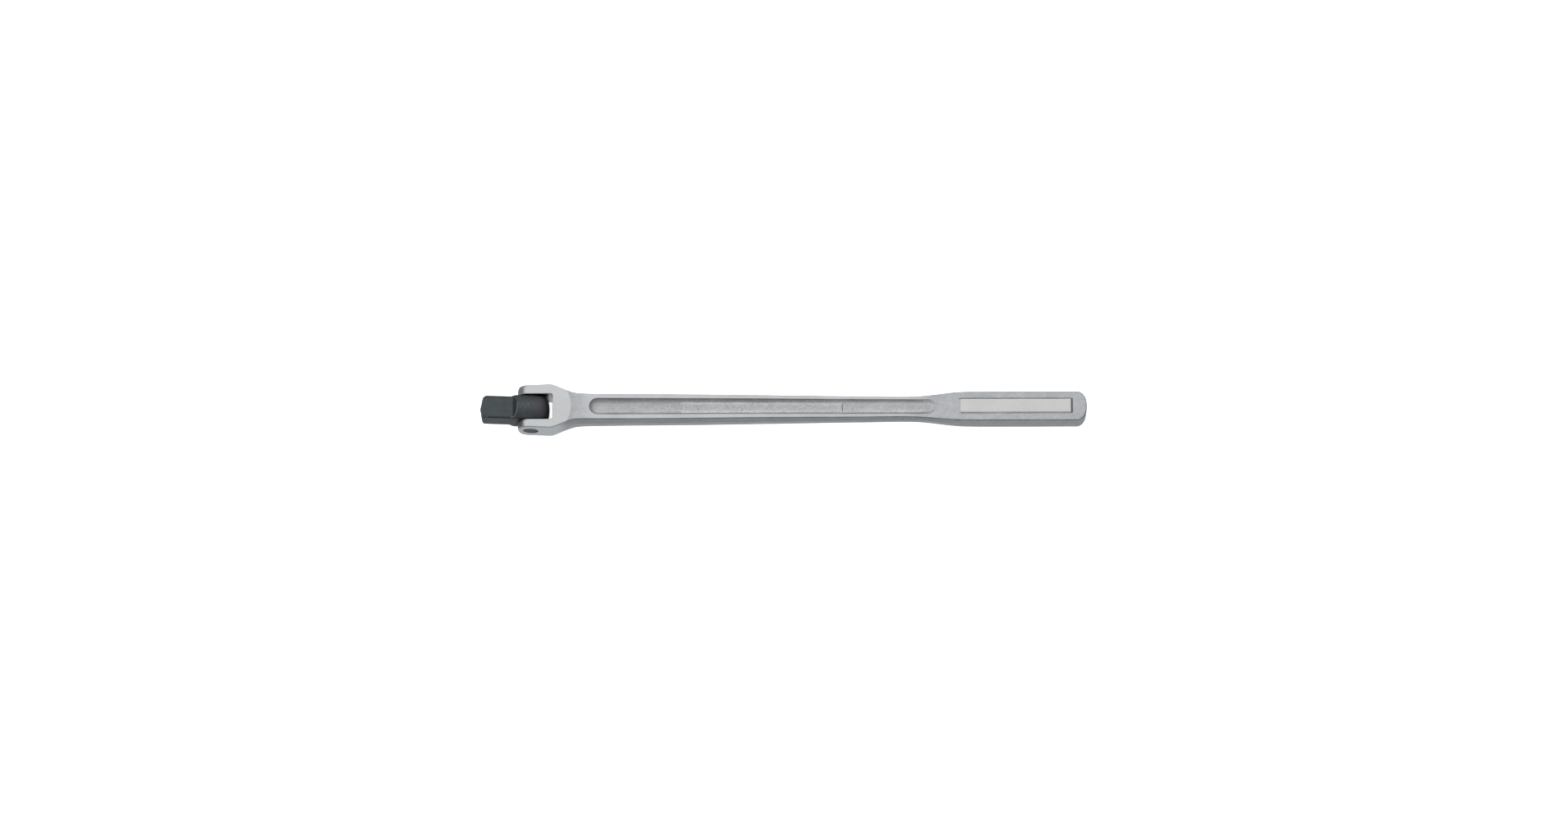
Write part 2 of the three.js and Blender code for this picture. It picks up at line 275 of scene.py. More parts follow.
class Nodes:
    """A small helper for building a node material."""

    def __init__(self, name):
        self.material = bpy.data.materials.new(name)
        self.material.use_nodes = True
        self.tree = self.material.node_tree
        self.shader = self.tree.nodes["Principled BSDF"]
        self.place = self.add("ShaderNodeTexCoord").outputs["Object"]

    def add(self, kind, **settings):
        node = self.tree.nodes.new(kind)
        for key, value in settings.items():
            setattr(node, key, value)
        return node

    def link(self, source, target):
        if isinstance(source, (int, float, tuple)):
            target.default_value = source
        else:
            self.tree.links.new(source, target)

    def noise(self, scale, detail=3.0, roughness=0.55, stretch=(1, 1, 1)):
        mapping = self.add("ShaderNodeMapping")
        self.link(self.place, mapping.inputs["Vector"])
        mapping.inputs["Scale"].default_value = stretch
        node = self.add("ShaderNodeTexNoise")
        self.link(mapping.outputs["Vector"], node.inputs["Vector"])
        node.inputs["Scale"].default_value = scale
        node.inputs["Detail"].default_value = detail
        node.inputs["Roughness"].default_value = roughness
        return node.outputs["Fac"]

    def attribute(self, name):
        return self.add("ShaderNodeAttribute", attribute_name=name).outputs["Fac"]

    def math(self, operation, a, b=0.0, clamp=False):
        node = self.add("ShaderNodeMath", operation=operation, use_clamp=clamp)
        self.link(a, node.inputs[0])
        self.link(b, node.inputs[1])
        return node.outputs[0]

    def band(self, value, low, high, to_low=0.0, to_high=1.0):
        """Maps value from low..high to to_low..to_high, and stops there."""
        node = self.add("ShaderNodeMapRange")
        self.link(value, node.inputs["Value"])
        for socket, number in zip(("From Min", "From Max", "To Min", "To Max"), (low, high, to_low, to_high)):
            self.link(number, node.inputs[socket])
        return node.outputs["Result"]

    def mix(self, factor, a, b):
        node = self.add("ShaderNodeMix", data_type="RGBA")
        self.link(factor, node.inputs["Factor"])
        self.link((*a, 1) if isinstance(a, tuple) else a, node.inputs["A"])
        self.link((*b, 1) if isinstance(b, tuple) else b, node.inputs["B"])
        return node.outputs["Result"]

    def bump(self, height, distance, strength=1.0, normal=None):
        node = self.add("ShaderNodeBump")
        self.link(height, node.inputs["Height"])
        node.inputs["Distance"].default_value = distance
        self.link(strength, node.inputs["Strength"])
        if normal is not None:
            self.link(normal, node.inputs["Normal"])
        return node.outputs["Normal"]


def steel_material():
    """Satin plated forging: shot-blast grain, ground yoke faces, smoother lands and raised panels. Shade is
    painted in the slot, along the face edges and along the panel's right and far edges, and the side walls
    get a painted lit tone.
    """
    n = Nodes("satin_forged_steel")
    shader = n.shader
    ground, smooth, flute, flank, edge, nick = (
        n.attribute(a) for a in ("ground", "smooth", "flute", "flank", "edge", "nick"))
    wall, skin, gleam, land, slot, panel_edge_shade = (
        n.attribute(a) for a in ("wall", "skin", "gleam", "land", "slot", "panel_edge_shade"))
    cloud = n.noise(95, 4, 0.6)
    pebble = n.noise(1500, 4, 0.65)
    grain = n.noise(3200, 3, 0.6)
    brushed = n.noise(2600, 2, 0.5, stretch=(0.06, 1, 1))
    fine = n.math("MAXIMUM", n.math("MAXIMUM", ground, smooth), n.math("MULTIPLY", land, 0.6))
    rough_area = n.math("SUBTRACT", 1.0, fine, clamp=True)

    patches = n.noise(330, 3, 0.6, stretch=(0.5, 1, 1))
    tone = n.math("ADD", n.band(cloud, 0.3, 0.7, -0.08, 0.08), n.band(grain, 0.3, 0.7, -0.05, 0.05))
    tone = n.math("ADD", tone, n.math("MULTIPLY", rough_area, n.band(patches, 0.35, 0.65, -0.08, 0.06)))
    mottle = n.math("MULTIPLY", n.band(pebble, 0.34, 0.66, -0.18, 0.14),
                    n.band(flute, 0, 1, 0.55, 1.0))
    tone = n.math("ADD", n.math("ADD", tone, 1.0), n.math("MULTIPLY", mottle, rough_area))
    trough = n.mix(flank, (0.335, 0.34, 0.345), (0.43, 0.436, 0.442))
    base = n.mix(flute, (0.265, 0.27, 0.276), trough)
    base = n.mix(land, base, (0.315, 0.32, 0.325))
    base = n.mix(ground, base, (0.30, 0.304, 0.308))
    base = n.mix(smooth, base, (0.345, 0.345, 0.335))
    # Painted light: the side walls get a bluish tone of their own, lighter on the yoke, standing in for how
    # the sides are lit.
    base = n.mix(wall, base, n.mix(ground, (0.33, 0.348, 0.362), (0.50, 0.53, 0.55)))
    gleam = n.math("MULTIPLY", gleam, n.band(grain, 0.4, 0.6))
    base = n.mix(gleam, base, (0.28, 0.29, 0.30))
    hammered = n.noise(1300, 4, 0.65)
    dark_skin = n.math("MULTIPLY", skin, n.band(hammered, 0.38, 0.6, 0.2, 0.95))
    base = n.mix(dark_skin, base, (0.25, 0.26, 0.27))
    # Painted shadow: the slot's inner walls are made nearly black between the ears, where shade falls, fading
    # out towards the slot's base.
    base = n.mix(slot, base, (0.022, 0.023, 0.025))
    # Painted shade along the grip panel's right end and far side.
    base = n.mix(panel_edge_shade, base, (0.10, 0.102, 0.106))
    # Painted shade: a ragged dark line along the rounded face edges from the waist on, standing in for the
    # dark that these edges mirror.
    edge_shade = n.math("MULTIPLY", edge, n.band(n.noise(300, 3, 0.6), 0.35, 0.6, 0.45, 0.8))
    base = n.mix(edge_shade, base, (0.13, 0.135, 0.14))
    pits = n.math("MULTIPLY", nick, n.band(n.noise(420, 3, 0.6), 0.55, 0.6), clamp=True)
    scaled = n.add("ShaderNodeVectorMath", operation="SCALE")
    n.link(base, scaled.inputs[0])
    n.link(tone, scaled.inputs["Scale"])
    n.link(n.mix(pits, scaled.outputs[0], (0.07, 0.07, 0.075)), shader.inputs["Base Color"])

    shader.inputs["Metallic"].default_value = 0.92
    roughness = n.math("ADD", n.band(cloud, 0.3, 0.7, 0.36, 0.44), n.math("MULTIPLY", flute, 0.16))
    n.link(n.math("SUBTRACT", roughness, n.math("MULTIPLY", ground, 0.07)), shader.inputs["Roughness"])
    normal = n.bump(pebble, 0.00005, n.math("MULTIPLY", rough_area, 0.7))
    normal = n.bump(grain, 0.00002, n.math("MULTIPLY", rough_area, 0.6), normal)
    normal = n.bump(brushed, 0.000012, n.math("MULTIPLY", ground, 0.45), normal)
    normal = n.bump(hammered, 0.00012, skin, normal)
    n.link(normal, shader.inputs["Normal"])
    return n.material


def black_material():
    """Black oxide steel, dull slate, with metal worn through along edges, a painted highlight streak on the
    tip's -Y side and on the relief's edge, painted shade along edges and at the end of the tongue, a painted
    lighter tone on the rear dome, and fine scuffs on the crown.
    """
    n = Nodes("black_oxide_steel")
    shader = n.shader
    wear_and_highlight, scuffed, rear, heel_shade, arris_shade = (n.attribute(a) for a in ("wear_and_highlight", "scuffed", "rear", "heel_shade", "arris_shade"))
    cloud = n.noise(260, 4, 0.6)
    grain = n.noise(1900, 3, 0.6)
    flecks = n.noise(1500, 4, 0.7, stretch=(0.8, 1.2, 1))
    base = n.mix(n.band(cloud, 0.3, 0.7), (0.026, 0.032, 0.036), (0.044, 0.052, 0.057))
    # Painted light: the rear dome gets an even, lighter tone that lifts the shading of its curve.
    base = n.mix(rear, base, (0.036, 0.037, 0.041))
    # Painted shade: the last of the tongue's rear dome is nearly black.
    base = n.mix(heel_shade, base, (0.010, 0.010, 0.011))
    # Painted shade: dark lines along the edges of the flats and of the tongue's sides, and round the pin's
    # ends.
    base = n.mix(n.math("MULTIPLY", arris_shade, 0.85), base, (0.010, 0.012, 0.014))
    fleck = n.math("MULTIPLY", scuffed, n.band(flecks, 0.57, 0.68), clamp=True)
    # Bright metal: worn through along the relief's edge, and a painted highlight streak on the tip and on the
    # relief's -Y half.
    bare_and_highlight = n.math("MULTIPLY", wear_and_highlight, n.band(flecks, 0.3, 0.5), clamp=True)
    base = n.mix(n.math("MULTIPLY", n.math("MAXIMUM", fleck, bare_and_highlight), 0.7), base, (0.33, 0.345, 0.35))
    n.link(base, shader.inputs["Base Color"])
    shader.inputs["Metallic"].default_value = 0.55
    n.link(n.band(cloud, 0.3, 0.7, 0.42, 0.55), shader.inputs["Roughness"])
    normal = n.bump(cloud, 0.00005, 0.5)
    n.link(n.bump(grain, 0.00002, 0.5, normal), shader.inputs["Normal"])
    return n.material


def bright_material(name, colour, roughness, grain_scale):
    """Plain spring or bearing steel with fine grain."""
    n = Nodes(name)
    grain = n.noise(grain_scale, 3, 0.6)
    dark = tuple(c * 0.86 for c in colour)
    n.link(n.mix(n.band(grain, 0.3, 0.7), dark, colour), n.shader.inputs["Base Color"])
    n.shader.inputs["Metallic"].default_value = 0.95
    n.link(n.band(grain, 0.3, 0.7, roughness, roughness + 0.1), n.shader.inputs["Roughness"])
    n.link(n.bump(grain, 0.00001, 0.4), n.shader.inputs["Normal"])
    return n.material


STEEL = steel_material()
BLACK_OXIDE = black_material()
SPRING_STEEL = bright_material("spring_steel", (0.45, 0.46, 0.47), 0.32, 1500)
BALL_STEEL = bright_material("bearing_steel", (0.72, 0.73, 0.74), 0.14, 2200)


# ---- Handle: yoke, shank and grip in one forging -----------------------------------------

# The upper face is a sheet over a flat plan. Over the ear ends the plan is unrolled, so that the
# sheet can turn down to the parting plane: its x runs on by EAR_ROLL from where the round starts.
ROUND_X = YOKE["front"] + YOKE["end_round"]
EAR_ROLL = 8.8
SHEET_START = ROUND_X - EAR_ROLL

shank_height = smooth_curve(SHANK_THICKNESS)
side_width = smooth_curve(WAIST_AND_GRIP)


def roll_angle(u):
    """How far the ear-end round has turned down at unrolled plan position u, from 0 to 90 degrees."""
    return np.clip((ROUND_X - u) / EAR_ROLL, 0, 1) * math.pi / 2


def roll_position(x):
    """The unrolled plan position of a point on the ear ends whose real x is given."""
    return ROUND_X - EAR_ROLL * math.asin(min(1, (ROUND_X - x) / YOKE["end_round"])) / (math.pi / 2)


def seam_distance(x, y):
    """How far a point is past the curved line where the ground yoke face ends."""
    return x - SEAM["x"] + SEAM["bow"] * (y / SEAM["half_width"]) ** 2


def face_height(x, y):
    past = seam_distance(x, y)
    shank = shank_height(x)
    step = np.exp(-np.maximum(past, 0) / SEAM["run_out"])
    return np.where(past < 0, YOKE["half_thickness"], shank + (YOKE["half_thickness"] - shank) * step)


def flute_width(x):
    share = np.clip((x - FLUTE["start"]) / (FLUTE["end"] - FLUTE["start"]), 0, 1)
    return FLUTE["start_width"] + share * (FLUTE["end_width"] - FLUTE["start_width"])


FLUTE_RUN = (FLUTE["start"] + FLUTE["start_width"], FLUTE["end"] - FLUTE["end_width"])


def flute_share(x, y):
    """0 on the flute's centre line, 1 at its rim, more outside it."""
    past_end = x - np.clip(x, *FLUTE_RUN)
    return np.hypot(past_end, y) / flute_width(x)


def panel_distance(x, y):
    """How far inside the panel's outline a point is, in units of each edge's own slope."""
    s = PANEL_SLOPES
    along = np.minimum((x - PANEL["start"]) * s["left"], (PANEL["end"] - x) * s["right"])
    across = np.minimum((PANEL["half_width"] + y) * s["near"], (PANEL["half_width"] - y) * s["far"])
    return np.minimum(along, across)


def sheet_height(x, y):
    """Height of the upper face: faces, flute, the raised pad in the flute and the grip panel."""
    face = face_height(x, y)
    run = np.clip((x - FLUTE["start"]) / (FLUTE["end"] - FLUTE["start"]), 0, 1)
    floor = FLUTE["start_floor"] + run * (FLUTE["end_floor"] - FLUTE["start_floor"])
    floor += FLUTE["end_rise"] * smooth_step(x, FLUTE["end"] - 9, FLUTE["end"])
    share = flute_share(x, y)
    bow = FLUTE["bow"] + (FLUTE["end_bow"] - FLUTE["bow"]) * smooth_step(x, FLUTE_RUN[1] - 6, FLUTE["end"])
    wall = (1 - FLUTE["dish"]) * share ** bow + FLUTE["dish"] * share ** 2
    trough = floor + (face - floor) * wall
    z = np.where(share < 1.2, smooth_min(face, trough, 0.22), face)
    pad_start = (x - FLUTE_PAD["start"]) / FLUTE_PAD["start_edge"]
    pad_end = (FLUTE_PAD["end"] - x) / FLUTE_PAD["edge"]
    pad_side = (FLUTE_PAD["share"] - share) * flute_width(x) / FLUTE_PAD["edge"]
    on_pad = np.clip(np.minimum(np.minimum(pad_start, pad_end), pad_side), 0, 1)
    z = z + on_pad * np.maximum(floor + FLUTE_PAD["height"] - z, 0)
    inside = panel_distance(x, y)
    groove = np.interp(inside, [-0.3, -0.14, 0.06], [0, 0.07, 0]) * smooth_step(y, 2.5, 2.9)
    return z + np.interp(inside, *np.array(PANEL_EDGE).T) - groove


def sheet_point(u, y, drop):
    """Places a plan point on the upper face, sunk by drop along the face's normal."""
    angle = roll_angle(u)
    rolled = u < ROUND_X
    a, b = YOKE["end_round"], YOKE["half_thickness"]
    x = np.where(rolled, ROUND_X - a * np.sin(angle), u)
    z = np.where(rolled, b * np.cos(angle), sheet_height(np.maximum(u, ROUND_X), y))
    normal_x, normal_z = -np.sin(angle) / a, np.cos(angle) / b
    length = np.hypot(normal_x, normal_z)
    return np.stack([x - drop * normal_x / length, y, z - drop * normal_z / length], axis=1)


def draft_slope(x):
    """How far the side runs outwards for each unit down."""
    loss = GRIP_DRAFT_LOSS
    return DRAFT * (1 - loss["share"] * smooth_step(x, loss["start"], loss["end"]))


def draft_offset(x):
    """How much further out the side is at the parting plane than at the face. The yoke's side has no
    draft, and the draft facet widens from the face's edge downwards."""
    wedge = np.maximum(x - WEDGE["start"], 0) * WEDGE["slope"]
    return draft_slope(x) * np.minimum(shank_height(x), wedge)


def outer_chain():
    """Plan points of the face's outer edge on the +Y side, from the ear end to the grip's tip."""
    front, corner, width = YOKE["front"], YOKE["corner"], YOKE["front_half_width"]
    points = []
    for angle in np.radians(np.arange(0, 91, 6)):
        x = front + corner * (1 - math.cos(angle))
        points.append((roll_position(x), width - corner * (1 - math.sin(angle))))
    round_width = width + EAR_FLARE * (ROUND_X - EAR_SIDE[0][0])
    points += resample([points[-1], (ROUND_X, round_width), EAR_SIDE[1]], 0.6)[1:]
    shoulder = smooth_curve(EAR_SHOULDER)
    points += [(x, float(shoulder(x))) for x in np.arange(5.8, 9.5, 0.4)]
    end_start = GRIP_END["x"] - GRIP_END["length"]
    xs = np.concatenate([np.arange(9.7, 34, 0.45), np.arange(34, 150, 0.8), np.arange(150, 180, 0.5),
                         np.arange(180, end_start - 0.4, 0.7)])
    points += [(x, float(side_width(x) - draft_offset(x))) for x in xs]
    inset = float(draft_offset(GRIP_END["x"]))
    for angle in np.linspace(0, math.pi / 2, 30):
        points.append((end_start + (GRIP_END["length"] - inset) * math.sin(angle) ** GRIP_END["fullness"],
                       (GRIP_END["half_width"] - inset) * math.cos(angle) ** GRIP_END["fullness"]))
    return np.array(points)


def slot_chain():
    """Plan points of the slot's edge, from the -Y ear round the base to the +Y ear."""
    low, high = SLOT["centre"] - SLOT["half_width"], SLOT["centre"] + SLOT["half_width"]
    r, base = SLOT["corner"], SLOT["base"]
    side = [(x, low) for x in np.arange(SHEET_START, base - r - 0.2, 0.5)]
    for angle in np.radians(np.arange(-90, 1, 10)):
        side.append((base - r + r * math.cos(angle), low + r + r * math.sin(angle)))
    return np.array(resample(side + [(x, SLOT["centre"] * 2 - y) for x, y in side[::-1]], 1.0))


class Plan:
    """Points and lines over the flat plan of the upper face. Each point has a drop below the face."""

    def __init__(self):
        self.points, self.drops, self.edges = [], [], []
        self.count = 0

    def add_points(self, points, drop=0.0):
        ids = list(range(self.count, self.count + len(points)))
        self.points.append(np.array(points, float))
        self.drops.append(np.broadcast_to(drop, (len(points),)))
        self.count += len(points)
        return ids

    def join(self, ids):
        self.edges.extend(zip(ids[:-1], ids[1:]))

    def add_line(self, points, drop=0.0, closed=False):
        ids = self.add_points(points, drop)
        self.join(ids)
        if closed:
            self.edges.append((ids[-1], ids[0]))
        return ids

    def triangulate(self, boundary):
        """Corners, drops and triangles inside the boundary, and the new index of each point."""
        corners, _, triangles, sources, _, _ = delaunay_2d_cdt(
            [Vector(p) for p in np.concatenate(self.points)], self.edges, [boundary], 1, 1e-5)
        drop = np.concatenate(self.drops)
        corner_drop = np.array([drop[s[0]] if s else 0.0 for s in sources])
        new_id = {old: new for new, olds in enumerate(sources) for old in olds}
        return np.array([tuple(c) for c in corners]), corner_drop, [list(t) for t in triangles], new_id


def add_rounded_edge(plan, chain, radius):
    """Adds rows of points inwards from an outline, the last one where the round ends. Gives the rows and
    the outward directions."""
    inward = -line_normals(chain)
    inward[0], inward[-1] = (0, -1), (0, 1)
    rows = []
    for turn in np.radians((90, 60, 35, 0)):
        inset = (radius * (1 - math.sin(turn)))[:, None]
        rows.append(plan.add_line(chain + inward * inset, radius * (1 - math.cos(turn))))
    return rows, -inward


def add_seam(plan):
    """Two close lines where the ground yoke face ends."""
    seam_y = np.linspace(-5.4, 5.4, 28)
    for past in (-0.08, 0.08):
        plan.add_line([(SEAM["x"] + past - SEAM["bow"] * (y / SEAM["half_width"]) ** 2, y) for y in seam_y])


def add_flute(plan):
    """Rings round the flute, its centre line and the ends of the raised pad in it."""
    pad_stations = [FLUTE_PAD["start"], FLUTE_PAD["start"] + FLUTE_PAD["start_edge"],
                    FLUTE_PAD["end"] - FLUTE_PAD["edge"], FLUTE_PAD["end"]]
    stations = np.concatenate([np.arange(FLUTE_RUN[0], FLUTE_RUN[1], 0.65), [FLUTE_RUN[1]]])
    stations = stations[np.min(np.abs(stations[:, None] - pad_stations), axis=1) > 0.3]
    stations = np.sort(np.concatenate([stations, pad_stations]))
    cap = np.radians(np.arange(8, 90, 9))
    pad_share = FLUTE_PAD["share"]
    mean_width = (FLUTE["start_width"] + FLUTE["end_width"]) / 2
    pad_inner = pad_share - FLUTE_PAD["edge"] / mean_width
    pad_lines = {s: [] for s in pad_stations}
    for share in (1.07, 1.03, 1.0, 0.965, 0.92, 0.86, 0.78, 0.72, pad_share, pad_inner, 0.45, 0.33, 0.18):
        width = flute_width(stations) * share
        end_r, start_r = FLUTE["end_width"] * share, FLUTE["start_width"] * share
        end_cap = [(FLUTE_RUN[1] + end_r * math.sin(a), end_r * math.cos(a)) for a in cap]
        start_cap = [(FLUTE_RUN[0] - start_r * math.cos(a), start_r * math.sin(a)) for a in cap]
        top = start_cap + list(zip(stations, width)) + end_cap
        ring = ([(FLUTE_RUN[0] - start_r, 0)] + top + [(FLUTE_RUN[1] + end_r, 0)]
                + [(x, -y) for x, y in top[::-1]])
        ids = plan.add_line(ring, closed=True)
        for k, station in enumerate(stations):
            if station in pad_lines and share <= pad_share:
                upper = 1 + len(start_cap) + k
                pad_lines[station].append((ids[upper], ids[-upper]))
    centre = plan.add_line([(x, 0) for x in stations])
    for station, pairs in pad_lines.items():
        middle = centre[int(np.argmin(np.abs(stations - station)))]
        plan.join([p[0] for p in pairs] + [middle] + [p[1] for p in pairs[::-1]])


def add_panel(plan):
    """Rectangles along the edge of the grip's raised panel."""
    slopes = PANEL_SLOPES
    for inside, _ in PANEL_EDGE:
        x0, x1 = PANEL["start"] + inside / slopes["left"], PANEL["end"] - inside / slopes["right"]
        y0, y1 = inside / slopes["near"] - PANEL["half_width"], PANEL["half_width"] - inside / slopes["far"]
        corners = [(x0, y0), (x1, y0), (x1, y1), (x0, y1), (x0, y0)]
        plan.add_line(resample(corners, 0.8)[:-1], closed=True)


def add_fill(plan, outlines):
    """Plain points over the rest of the face, a little uneven, and clear of every line."""
    step = 0.6
    u, y = np.meshgrid(np.arange(SHEET_START + 0.3, GRIP_END["x"], step), np.arange(-9, 9.1, step))
    rng = np.random.default_rng(7)
    u, y = (v.ravel() + rng.uniform(-0.04, 0.04, v.size) for v in (u, y))
    clear = flute_share(u, y) > 1.16
    clear &= np.abs(seam_distance(u, y)) > 0.35
    panel_d = panel_distance(u, y)
    clear &= (panel_d > 0.5) | (panel_d < -0.6)
    for outline in outlines:
        for part in np.array_split(outline, 12):
            d = np.hypot(u[:, None] - part[None, :, 0], y[:, None] - part[None, :, 1]).min(axis=1)
            clear &= d > 0.62
    plan.add_points(np.stack([u[clear], y[clear]], axis=1))


def handle_marks(ux, uy, edge_mark, wall_mark, in_slot):
    """Where each finish of the forging lies, from 0 to 1, by plan position, and where shade and light are
    painted: in the slot, along the face edges, along the panel's right and far edges, and on the side walls.
    """
    on_face = 1 - wall_mark
    in_flute = flute_share(ux, uy)
    rolled = roll_angle(ux)
    panel_in = panel_distance(ux, uy)
    # Painted shade in the groove and wall along the panel's right end and far side, which face away from the
    # light.
    shaded_side = np.maximum(smooth_step(ux, 221.6, 222), 0.8 * smooth_step(uy, 2.5, 2.8))
    beside = smooth_step(ux, PANEL["start"] - 0.2, PANEL["start"]) * smooth_step(uy, -3.1, -2.9)
    panel_edge_shade = (panel_in > -0.16) * (panel_in < 0.08) * shaded_side * beside
    return {
        "ground": np.where(wall_mark, 1 - smooth_step(ux, 10.5, 16), seam_distance(ux, uy) < 0),
        "smooth": smooth_step(panel_in, 0.05, 0.2) * on_face,
        "flute": smooth_step(1 - in_flute, 0, 0.06) * on_face,
        "flank": smooth_step(in_flute, 0.25, 0.6) * on_face,
        # edge: where the painted dark line along the face edges goes.
        "edge": edge_mark * smooth_step(ux, 13, 18),
        "nick": edge_mark * smooth_step(ux, 130, 165),
        # wall: the side walls, which get a painted lit tone.
        "wall": wall_mark,
        "land": on_face * smooth_step(ux, 16, 27) * (1 - smooth_step(ux, 150, 168)) * (in_flute > 0.98),
        "skin": smooth_step(rolled, 0.34, 0.52) * (1 - 0.7 * wall_mark),
        "gleam": smooth_step(rolled, 0.12, 0.18) * (1 - smooth_step(rolled, 0.38, 0.46)) * on_face,
        # slot: painted shadow on the slot walls, fading out before the slot's base.
        "slot": in_slot * (1 - smooth_step(ux, 6.6, 8.4)),
        "panel_edge_shade": panel_edge_shade * on_face,
    }


def forged_surface(co, marks):
    """Lets the forged areas swell and dip a little, but not the ground faces or the panel."""
    rough = (1 - np.maximum(marks["ground"], marks["smooth"])) * smooth_step(co[:, 0], 17, 24)
    swell = 0.022 * value_noise(co, 5.5, 3) + 0.012 * value_noise(co, 2.1, 4)
    side = np.where(np.abs(co[:, 2]) < 1e-6, 0, np.sign(co[:, 2]))
    co = co.copy()
    co[:, 2] += side * swell * rough * smooth_step(np.abs(co[:, 2]), 0.5, 1.5)
    co[:, 1] += np.sign(co[:, 1]) * 0.5 * swell * rough
    return co


def handle_piece():
    """The forging: the upper face, the sides down to the parting plane, and the mirrored lower half."""
    half = outer_chain()
    outer = np.concatenate([half, half[-2::-1] * (1, -1)])
    slot = slot_chain()
    plan = Plan()
    outer_radius = FACE_EDGE + (GRIP_END["edge"] - FACE_EDGE) * smooth_step(outer[:, 0], 224.5, 227)
    outer_rows, outer_out = add_rounded_edge(plan, outer, outer_radius)
    slot_rows, slot_out = add_rounded_edge(plan, slot, np.full(len(slot), FACE_EDGE))
    # The ear ends close along the parting plane.
    ends = []
    for outer_end, slot_end in ((0, -1), (-1, 0)):
        across = [r[outer_end] for r in outer_rows] + [r[slot_end] for r in slot_rows[::-1]]
        plan.join(across)
        ends.append(across)
    add_seam(plan)
    add_flute(plan)
    add_panel(plan)
    add_fill(plan, (outer, slot))
    boundary = outer_rows[0] + ends[1][1:-1] + slot_rows[0] + ends[0][::-1][1:-1]
    corners, drop, faces, new_id = plan.triangulate(boundary)

    top = sheet_point(corners[:, 0], corners[:, 1], drop)
    co = [top]
    plan_of = [corners]
    edge_mark = [np.clip(drop / FACE_EDGE * 3, 0, 1)]
    wall_mark = [np.zeros(len(corners))]
    slot_mark = [np.zeros(len(corners))]
    total = len(corners)
    wall_levels = (0.92, 0.84, 0.76, 0.68, 0.6, 0.5, 0.4, 0.3, 0.2, 0.1, 0.04, 0.0)
    for row, chain, outward in ((outer_rows[0], outer, outer_out), (slot_rows[0], slot, slot_out)):
        x = chain[:, 0]
        upper = np.array([new_id[i] for i in row])
        edge = top[upper]
        out = draft_offset(x) if chain is outer else np.zeros(len(chain))
        full_out = draft_slope(x) * shank_height(x)
        for share in wall_levels:
            level = edge * (1, 1, share)
            ridge = PARTING_RIDGE * smooth_step(x, 12, 22) if share == 0 and chain is outer else 0
            level[:, :2] += outward * (np.minimum(full_out * (1 - share), out) + ridge)[:, None]
            co.append(level)
            plan_of.append(chain)
            edge_mark.append(np.full(len(chain), 0.5 if share == wall_levels[0] else 0.0))
            wall_mark.append(np.ones(len(chain)))
            slot_mark.append(np.full(len(chain), float(chain is slot)))
            lower = np.arange(total, total + len(chain))
            total += len(chain)
            faces += [[upper[i], upper[i + 1], lower[i + 1], lower[i]] for i in range(len(chain) - 1)]
            upper = lower
    co = np.concatenate(co)
    marks = handle_marks(*np.concatenate(plan_of).T, *map(np.concatenate, (edge_mark, wall_mark, slot_mark)))
    marks = {k: np.concatenate([v, v]) for k, v in marks.items()}
    mirrored = [[v + len(co) for v in f[::-1]] for f in faces]
    both = forged_surface(np.concatenate([co, co * (1, 1, -1)]), marks)
    handle = make_object("handle_forging", both, faces + mirrored, STEEL, "handle", "handle",
                         marks, sharp_angle=32)
    cut(handle, *turned(PIN_BORE, 96))


# ---- Drive head ---------------------------------------------------------------------------

def flat_height(x):
    """Distance from the head's axis to its milled flats, with the relief that rises to the tongue."""
    start, r, top = HEAD["relief"], HEAD["relief_radius"], HEAD["relief_angle"]
    run = np.clip(x - start, 0, r * math.sin(top))
    arc = HEAD["square"] + r - np.sqrt(r * r - run * run)
    return arc + np.maximum(x - start - r * math.sin(top), 0) * math.tan(top)


def head_profile():
    """(x, radius) points of the turned blank, from tip to rear."""
    points = [tuple(p) for p in smooth_line(HEAD_TIP, 4)]
    start = points[-1][0]
    points += [(x, HEAD["corner"]) for x in np.arange(start + 0.08, start + 0.5, 0.09)]
    points += [(x, HEAD["corner"]) for x in np.arange(start + 0.6, -9.4, 0.4)]
    points += [(x, HEAD["corner"]) for x in np.arange(-9.4, HEAD["neck"], 0.08)]
    for x in np.arange(HEAD["neck"], -5.2, 0.06):
        rise = np.clip((x - HEAD["neck"]) / (HEAD["shoulder"] - HEAD["neck"]), 0, 1)
        points.append((x, HEAD["corner"] + rise * (HEAD["blank"] - HEAD["corner"])))
    points += [(x, HEAD["blank"]) for x in np.arange(-5.1, HEAD["dome"] - 0.1, 0.25)]
    for t in np.linspace(0, 1, 26):
        x = HEAD["dome"] * (1 - t) ** 2 + HEAD["rear"] * (2 * t * (1 - t) + t * t)
        points.append((x, HEAD["blank"] * ((1 - t) ** 2 + 2 * t * (1 - t))))
    return np.array(points)


